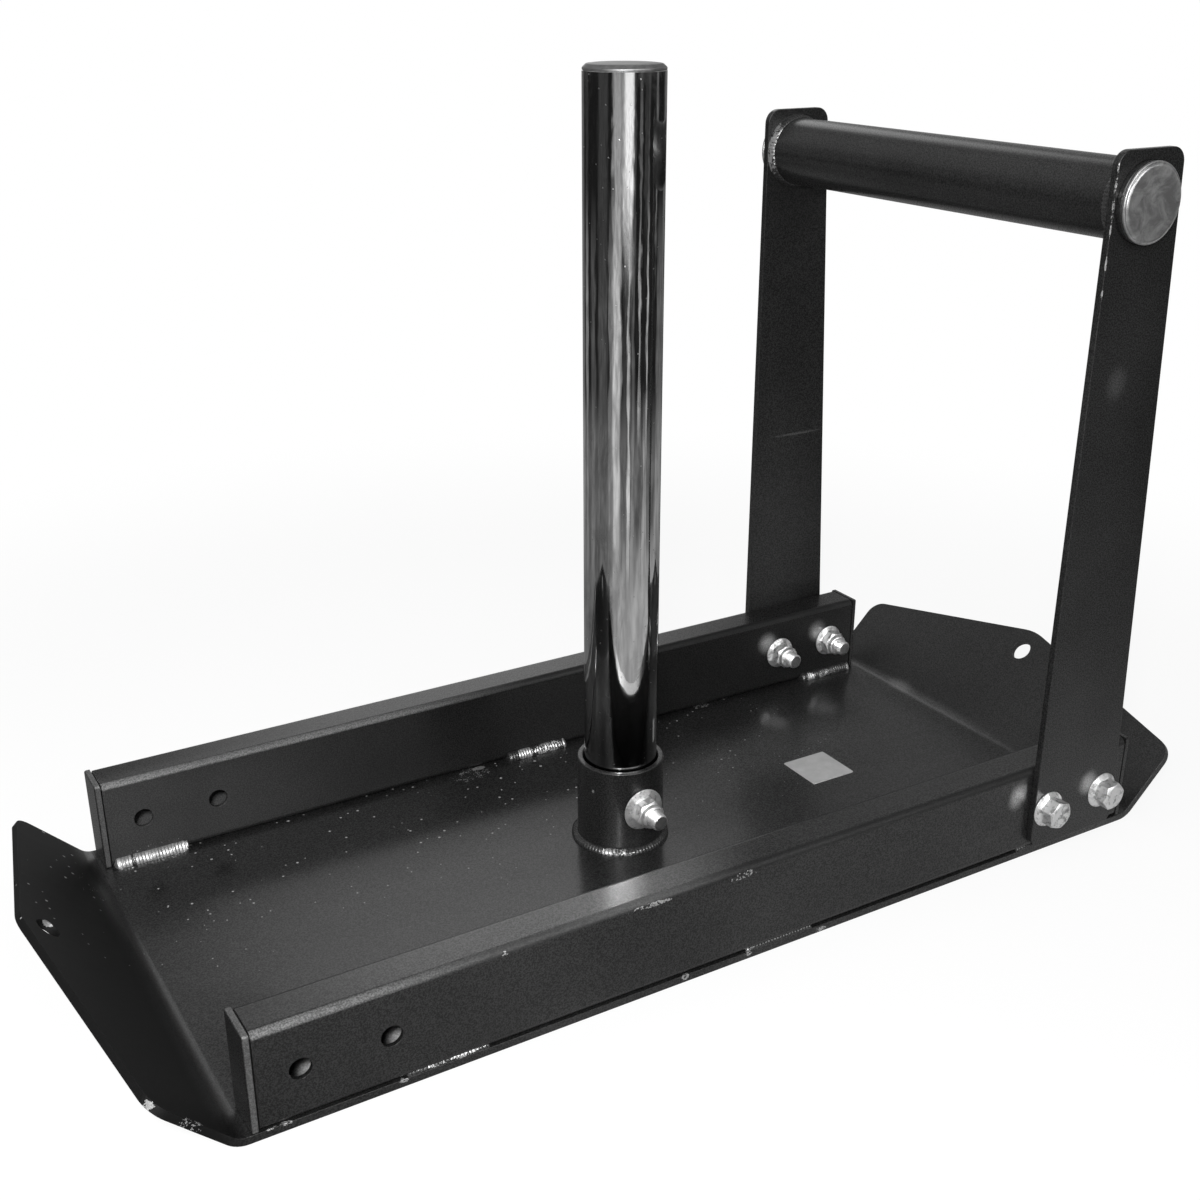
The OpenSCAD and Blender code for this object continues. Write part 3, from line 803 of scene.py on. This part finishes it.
def makePlug(side, name, node):
    low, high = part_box(node)
    x, z = (low.x + high.x) / 2, (low.z + high.z) / 2
    radius = (high.z - low.z) / 2
    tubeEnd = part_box("handle_tube")[0].y if side < 0 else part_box("handle_tube")[1].y
    face = low.y if side < 0 else high.y
    head = abs(face - tubeEnd)
    middle, back = 0.4 * mm, -plug["depth"] * mm
    body, neck = radius - plug["gap"] * mm, radius - plug["neck"] * mm
    profile = [(middle, back), (body, back), (body, 0), (neck, 0), (neck, plug["neckHeight"] * mm),
               (radius, plug["rimStart"] * mm), (radius, head - plug["rimEnd"] * mm)]
    for inset, drop in (plug["groove"], plug["grooveFoot"], plug["face"], (plug["flat"], 0)):
        profile.append((radius - inset * mm, head - drop * mm))
    profile.append((middle, head))
    bm = bmesh.new()
    turned(bm, roundedSteps(profile, plug["round"] * mm), tube["segments"], alongY(x, tubeEnd, z, side))
    addPiece(name, bm, steel, node, angle=40)


makeHandleTube()
makePlug(-1, "leftPlug", "left_tube_plug")
makePlug(1, "rightPlug", "right_tube_plug")
print("handle")


# Flange bolts and nuts, M12

thread = dict(radius=6.0, pitch=1.75, depth=0.75, segments=48, perTurn=8, tipInset=1.3, tipSlope=1.1)
hexagon = dict(flats=18.0, flangeEdge=0.9, flangeTop=2.6, topShare=0.86, slope=0.6, headHeight=13.0,
               headDish=0.35, bore=5.2, collarHeight=4.0, collarFoot=((8.5, 0.05), (8.45, 0.4)),
               collarTop=((8.4, 1.5), (8.0, 0.7), (7.2, 0.1), (6.6, 0), (5.4, 0.6)))  # (radius, drop)


def hexRadius(angle, flats):
    wedge = (angle + math.pi / 6) % (math.pi / 3) - math.pi / 6
    return flats / 2 / math.cos(wedge)


def hexRings(height, flange, hole=0.0, dish=0.0):
    # Flange and hexagon from the bottom to the top circle, as rows of (radius, height) by angle
    flats, circle = hexagon["flats"], hexagon["flats"] / 2 * hexagon["topShare"]
    edge, top = hexagon["flangeEdge"], hexagon["flangeTop"]
    rows = [lambda a: (max(hole, 0.3), 0.0), lambda a: (flange - 0.5, 0.0), lambda a: (flange - 0.12, 0.16),
            lambda a: (flange, 0.5), lambda a: (flange - 0.15, edge), lambda a: (flange - 0.6, edge + 0.25),
            lambda a: (hexRadius(a, flats) + 0.55, top - 0.12),
            lambda a: (hexRadius(a, flats) + 0.15, top + 0.12),
            lambda a: (hexRadius(a, flats), top + 0.5)]
    slope = hexagon["slope"]
    rows.append(lambda a: (hexRadius(a, flats), height - (hexRadius(a, flats) - circle) * slope - 0.12))
    rows.append(lambda a: (hexRadius(a, flats) - 0.14, height - (hexRadius(a, flats) - circle) * slope))
    rows.append(lambda a: (circle, height))
    if dish:
        rows.append(lambda a: (circle - 1.1, height))
        rows.append(lambda a: (circle - 1.6, height - dish))
        rows.append(lambda a: (0.3, height - dish * 0.8))
    return rows


def sweep(bm, rows, matrix, segments=96):
    rings = []
    for row in rows:
        ring = []
        for i in range(segments):
            a = 2 * math.pi * i / segments
            radius, height = row(a)
            ring.append(matrix @ Vector((radius * mm * math.cos(a), radius * mm * math.sin(a), height * mm)))
        rings.append(ring)
    ringSurface(bm, rings, capped=True)


def threadedShank(bm, matrix, start, end):
    # Threaded rod along Z from start to end in millimetres, with a chamfered end
    r, pitch, depth = thread["radius"], thread["pitch"], thread["depth"]
    count = max(4, int(abs(end - start) / pitch * thread["perTurn"]))
    rings = []
    for k in range(count + 1):
        z = start + (end - start) * k / count
        ring = []
        for i in range(thread["segments"]):
            a = 2 * math.pi * i / thread["segments"]
            saw = (z / pitch + a / (2 * math.pi)) % 1.0
            tooth = abs(saw * 2 - 1)
            radius = r - depth * (1 - min(1.0, tooth * 1.25))
            radius = min(radius, r - thread["tipInset"] + abs(end - z) * thread["tipSlope"])
            ring.append(matrix @ Vector((radius * mm * math.cos(a), radius * mm * math.sin(a), z * mm)))
        rings.append(ring)
    ringSurface(bm, rings, capped=True)


def fasteners(side, boltNode, nutNode, boltName, nutName, turn):
    # Bolts with their heads at the side given, and the nuts at their far ends
    low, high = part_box(boltNode)
    flange = (high.z - low.z) / 2
    z = (low.z + high.z) / 2
    xs = (low.x + flange, high.x - flange) if high.x - low.x > 3 * flange else ((low.x + high.x) / 2,)
    nutLow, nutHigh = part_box(nutNode)
    headTop, tip = (high.y, low.y) if side > 0 else (low.y, high.y)
    headHeight = hexagon["headHeight"]
    nutBase, nutTop = (nutHigh.y, nutLow.y) if side > 0 else (nutLow.y, nutHigh.y)
    nutHeight = abs(nutTop - nutBase) / mm
    bolts, nuts = bmesh.new(), bmesh.new()
    for i, x in enumerate(xs):
        spin = Matrix.Rotation(math.radians(turn[i]), 4, "Z")
        headAt = alongY(x, headTop - side * headHeight * mm, z, side) @ spin
        sweep(bolts, hexRings(headHeight, flange / mm, dish=hexagon["headDish"]), headAt)
        shank = abs(tip - headTop) / mm - headHeight
        threadedShank(bolts, headAt, -0.5, -shank)
        nutAt = alongY(x, nutBase, z, -side) @ Matrix.Rotation(math.radians(turn[i] * 1.7 + 11), 4, "Z")
        hexHeight = nutHeight - hexagon["collarHeight"]
        rows = hexRings(hexHeight, (nutHigh.z - nutLow.z) / 2 / mm, hole=hexagon["bore"])
        collar = [(radius, hexHeight + rise) for radius, rise in hexagon["collarFoot"]]
        collar += [(radius, nutHeight - drop) for radius, drop in hexagon["collarTop"]]
        rows += [lambda a, c=c: c for c in collar]
        sweep(nuts, rows, nutAt)
    piece = addPiece(boltName, bolts, zinc, boltNode, angle=38, extra=(tipShadeSteel,))
    # the end faces get the darker steel, as painted shade
    for face in piece.data.polygons:
        if abs(face.center.y - tip) < 0.2 * mm:
            face.material_index = 1
    addPiece(nutName, nuts, zinc, nutNode, angle=38)


fasteners(-1, "left_handle_bolts", "left_handle_nuts", "leftBolts", "leftNuts", (12, 40))
fasteners(1, "right_handle_bolts", "right_handle_nuts", "rightBolts", "rightNuts", (25, 4))
fasteners(1, "post_bolt", "post_nut", "postBolt", "postNut", (18,))
print("fasteners")


# Label, bare

label = dict(corner=1.2, edge=0.15)


def makeLabel():
    low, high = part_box("label_plate")
    x, y = (low.x + high.x) / 2, (low.y + high.y) / 2
    half = (high.x - low.x) / 2
    bm = bmesh.new()
    rings = []
    edge, r = label["edge"] * mm, label["corner"] * mm
    for inset, z in ((0.0, low.z), (0.0, high.z - edge), (edge, high.z)):
        ring = []
        for cx, cy in ((1, 1), (-1, 1), (-1, -1), (1, -1)):
            start = math.atan2(cy, cx) - math.pi / 4
            for i in range(5):
                a = start + i * math.pi / 8
                ring.append((x + cx * (half - r) + (r - inset) * math.cos(a),
                             y + cy * (half - r) + (r - inset) * math.sin(a), z))
        rings.append(ring)
    ringSurface(bm, rings, capped=True)
    addPiece("labelPlate", bm, film, "label_plate", angle=40)


makeLabel()
print("label")


# Camera at the photograph's angle

view = dict(azimuth=-30.745, elevation=23.294, place=(-0.48767, -0.79547, 0.5633),
            focal=1515.97, width=1200, centreY=629.47)


def makeCamera():
    data = bpy.data.cameras.new("camera")
    data.sensor_width = 36
    data.lens = 36 * view["focal"] / view["width"]
    data.shift_y = (view["centreY"] - view["width"] / 2) / view["width"]
    data.clip_start, data.clip_end = 0.01, 100
    camera = bpy.data.objects.new("camera", data)
    camera.location = view["place"]
    camera.rotation_euler = (math.radians(90 - view["elevation"]), 0, math.radians(view["azimuth"]))
    scene.collection.objects.link(camera)
    scene.camera = camera


makeCamera()


# Studio: pale floor, soft lamps, and what the bright metal sees round it

studio = dict(
    diffuse=0.5,  # even light of the room
    white=0.88,  # how much of the floor's white near the sled is there whatever the shadow
    clearEdge=(0.55, 1.1),  # distances between which the floor turns to plain white
    paper=(0.86, 0.86, 0.86, 1),
    side=0.17,  # how bright the room looks in reflections, to the sides
    front=0.07,  # and on the camera's side
    sideEnd=(70, 130),  # angles between which the one turns to the other
    backdrop=0.2,  # the pale backdrop behind the sled
    backdropWidth=(45, 80),
    backdropTop=(2, 14),  # elevations between which it ends
    left=0.3,  # lighter wall at the left
    leftFrom=(25, 50),
    leftEnd=(90, 120),
    leftLow=(8, 25),
    right=0.12,
    rightFrom=(-12, -4),
    rightEnd=(-70, -40),
    glow=1.1,  # the bright part behind the sled
    glowAt=7,
    glowWidth=(4, 15),
    glowTop=(38, 50),
    bounce=5.2,  # flash light thrown back by the room behind the camera
    bounceSides=((150, 170), (108, 138)),  # angles between which it starts, left and right
    bounceLow=(15, 27),
    bounceTop=(40, 52),
    farFloor=0.15,  # the floor well behind the sled
    farSide=(130, 155),  # angles between which that starts
    wander=9,  # how many degrees the strips on the floor wander
    floorNear=0.36,  # the floor close to the sled, on the camera's side
    floorShade=0.14,  # and on the other sides
    floorTurn=45,  # how far its bright side is turned from the camera
    floorEdge=(0.45, 0.75),  # distances between which the close floor gives way to the strips
    viewSide=-121.6,  # direction from the post to the camera
    awaySide=59.26,
)
# What the chrome sees round it on the floor: angle from the view side, half width,
# and how bright that is far off, further in and close by
strips = [
    (-122, 7, 0.03, 0.2, 0.05),
    (-93, 9, 0.0, 0.07, 0.05),
    (-60, 14, 0.035, 0.06, 0.0),
    (-37, 5, 0.0, 0.15, 0.1),
    (-18, 13, 0.33, 0.5, 0.35),
    (-1, 4, 0.3, 0.0, 0.0),
    (14, 12, 0.95, 0.03, 0.0),
    (16, 3, 0.0, 0.35, 0.0),
    (17, 4, 0.0, 0.05, 0.5),
    (29, 4, 0.05, 0.08, 0.1),
    (48, 3.5, 0.1, 0.35, 0.0),
    (64, 4, 0.03, 0.0, 0.18),
    (72, 3.5, 0.06, 0.4, 0.15),
    (101, 4, 0.15, 0.0, 0.0),
    (125, 15, 0.0, 0.1, 0.1),
]
stripBase = (0.012, 0.015, 0.13)
stripReach = ((1.9, 3.8), (0.95, 1.35))  # distances between which far starts, and close by ends


def wrapped(angle):  # an angle in degrees brought to between -180 and 180
    return (angle + 540).math("FLOORED_MODULO", 360) - 180


def floorMaterial():
    material, kit = newMaterial("floorPaper")
    place = kit.place()
    x, y = kit.split(place)[:2]
    away = kit.vector("LENGTH", kit.vector("MULTIPLY", place, (1, 1, 0)), out="Value")
    angle = kit.calc("ARCTAN2", y, x) * (180 / math.pi) - studio["viewSide"]
    angle = angle + kit.noise(place, 0.5, 3.0, 0.6).span(-studio["wander"], studio["wander"])
    blotch = kit.noise(place, 0.22, 3.0, 0.65)
    reach = away * blotch.span(0.75, 1.25)
    far = reach.step(*stripReach[0])
    close = 1 - reach.step(*stripReach[1])
    middle = 1 - far - close
    strip = far * stripBase[0] + middle * stripBase[1] + close * stripBase[2]
    for centre, half, *levels in strips:
        level = far * levels[0] + middle * levels[1] + close * levels[2]
        strip = (1 - abs(wrapped(angle - centre)).step(half * 0.6, half * 1.3)) * level + strip
    patches = blotch.step(0.3, 0.7)
    strip = strip * patches.span(0.6, 1.35)
    strip = strip + abs(wrapped(angle)).step(*studio["farSide"]) * studio["farFloor"]
    front = kit.calc("COSINE", (angle - studio["floorTurn"]) * (math.pi / 180)).step(0.0, 0.6)
    near = studio["floorShade"] + front * (studio["floorNear"] - studio["floorShade"])
    near = near * patches.span(0.75, 1.3)
    outside = away.step(*studio["floorEdge"])
    seen = strip * outside + (1 - outside) * near
    paper = kit.node("BsdfDiffuse", {}, {"Color": studio["paper"]})
    white = kit.node("Emission", {}, {"Color": (1, 1, 1, 1), "Strength": 1.0})
    clear = studio["white"] + away.step(*studio["clearEdge"]) * (1 - studio["white"])
    lit = kit.node("MixShader", {}, {0: clear * kit.ray("Is Camera Ray"), 1: paper, 2: white})
    mirrored = kit.node("Emission", {}, {"Color": (1, 1, 1, 1), "Strength": seen})
    both = kit.node("MixShader", {}, {0: kit.ray("Is Glossy Ray"), 1: lit, 2: mirrored})
    kit.node("OutputMaterial", {}, {"Surface": both})
    return material


floorShape = dict(radii=(0.0005, 1.0, 3.0, 12.0), segments=96, drop=0.0003)  # in metres


def makeFloor():
    bm = bmesh.new()
    rings = []
    count = floorShape["segments"]
    for radius in floorShape["radii"]:
        rings.append([(radius * math.cos(a), radius * math.sin(a), -floorShape["drop"])
                      for a in [2 * math.pi * i / count for i in range(count)]])
    rows = ringSurface(bm, rings)
    bm.faces.new(rows[0])
    mesh = bpy.data.meshes.new("floor")
    bm.to_mesh(mesh)
    bm.free()
    mesh.materials.append(floorMaterial())
    floor = bpy.data.objects.new("floor", mesh)
    scene.collection.objects.link(floor)


def makeWorld():
    world = bpy.data.worlds.new("studio")
    scene.world = world
    world.use_nodes = True
    kit = NodeKit(world.node_tree)
    x, y, z = kit.split(kit.node("TexCoord", {}, {}, out="Generated"))
    azimuth = kit.calc("ARCTAN2", y, x) * (180 / math.pi) - studio["awaySide"]
    azimuth = wrapped(azimuth)  # 0 behind the sled, seen from the camera, and positive to the left
    rise = z.math("ARCSINE") * (180 / math.pi)
    room = studio["side"] - abs(azimuth).step(*studio["sideEnd"]) * (studio["side"] - studio["front"])
    behind = 1 - abs(azimuth).step(*studio["backdropWidth"])
    room = room + behind * (1 - rise.step(*studio["backdropTop"])) * studio["backdrop"]
    glow = 1 - abs(azimuth - studio["glowAt"]).step(*studio["glowWidth"])
    room = room + glow * (1 - rise.step(*studio["glowTop"])) * studio["glow"]
    leftSide = azimuth.step(*studio["leftFrom"]) * (1 - azimuth.step(*studio["leftEnd"]))
    leftSide = leftSide * rise.step(*studio["leftLow"])
    rightSide = (1 - azimuth.step(*studio["rightFrom"])) * azimuth.step(*studio["rightEnd"])
    room = room + leftSide * studio["left"] + rightSide * studio["right"]
    bounceLeft, bounceRight = studio["bounceSides"]
    bounce = azimuth.step(*bounceLeft) + (azimuth * -1).step(*bounceRight)
    bounce = bounce * rise.step(*studio["bounceLow"]) * (1 - rise.step(*studio["bounceTop"]))
    room = room + bounce * studio["bounce"]
    mirrored, pictured = kit.ray("Is Glossy Ray"), kit.ray("Is Camera Ray")
    strength = studio["diffuse"] * (1 - mirrored) + room * mirrored
    strength = strength * (1 - pictured) + pictured
    back = kit.node("Background", {}, {"Color": (1, 1, 1, 1), "Strength": strength})
    kit.node("OutputWorld", {}, {"Surface": back})


# Name, place, target, size and power in watts of each lamp, and whether the metal mirrors it
lamps = [
    ("cameraFlash", (-0.59, -0.85, 0.74), (0, 0, 0.1), (0.12, 0.12), 10, True),
    ("frontSoftbox", (0.25, -1.35, 1.0), (0, 0, 0.1), (0.5, 0.35), 1.6, True),
    ("leftStrip", (-1.08, -0.74, 0.98), (0, 0, 0.1), (0.6, 0.15), 4, True),
    ("leftSoftbox", (-1.0, -0.12, 0.42), (-0.2, 0.1, 0.03), (0.35, 0.3), 3.5, False),
]


def addLamp(name, place, target, size, power, mirrored):
    data = bpy.data.lights.new(name, "AREA")
    data.shape = "RECTANGLE"
    data.size, data.size_y = size
    data.energy = power
    lamp = bpy.data.objects.new(name, data)
    lamp.location = place
    lamp.rotation_euler = (Vector(target) - Vector(place)).to_track_quat("-Z", "Y").to_euler()
    lamp.visible_camera = False
    lamp.visible_glossy = mirrored
    scene.collection.objects.link(lamp)


makeFloor()
makeWorld()
for lamp in lamps:
    addLamp(*lamp)
scene.view_settings.view_transform = "Standard"
print("camera and studio")
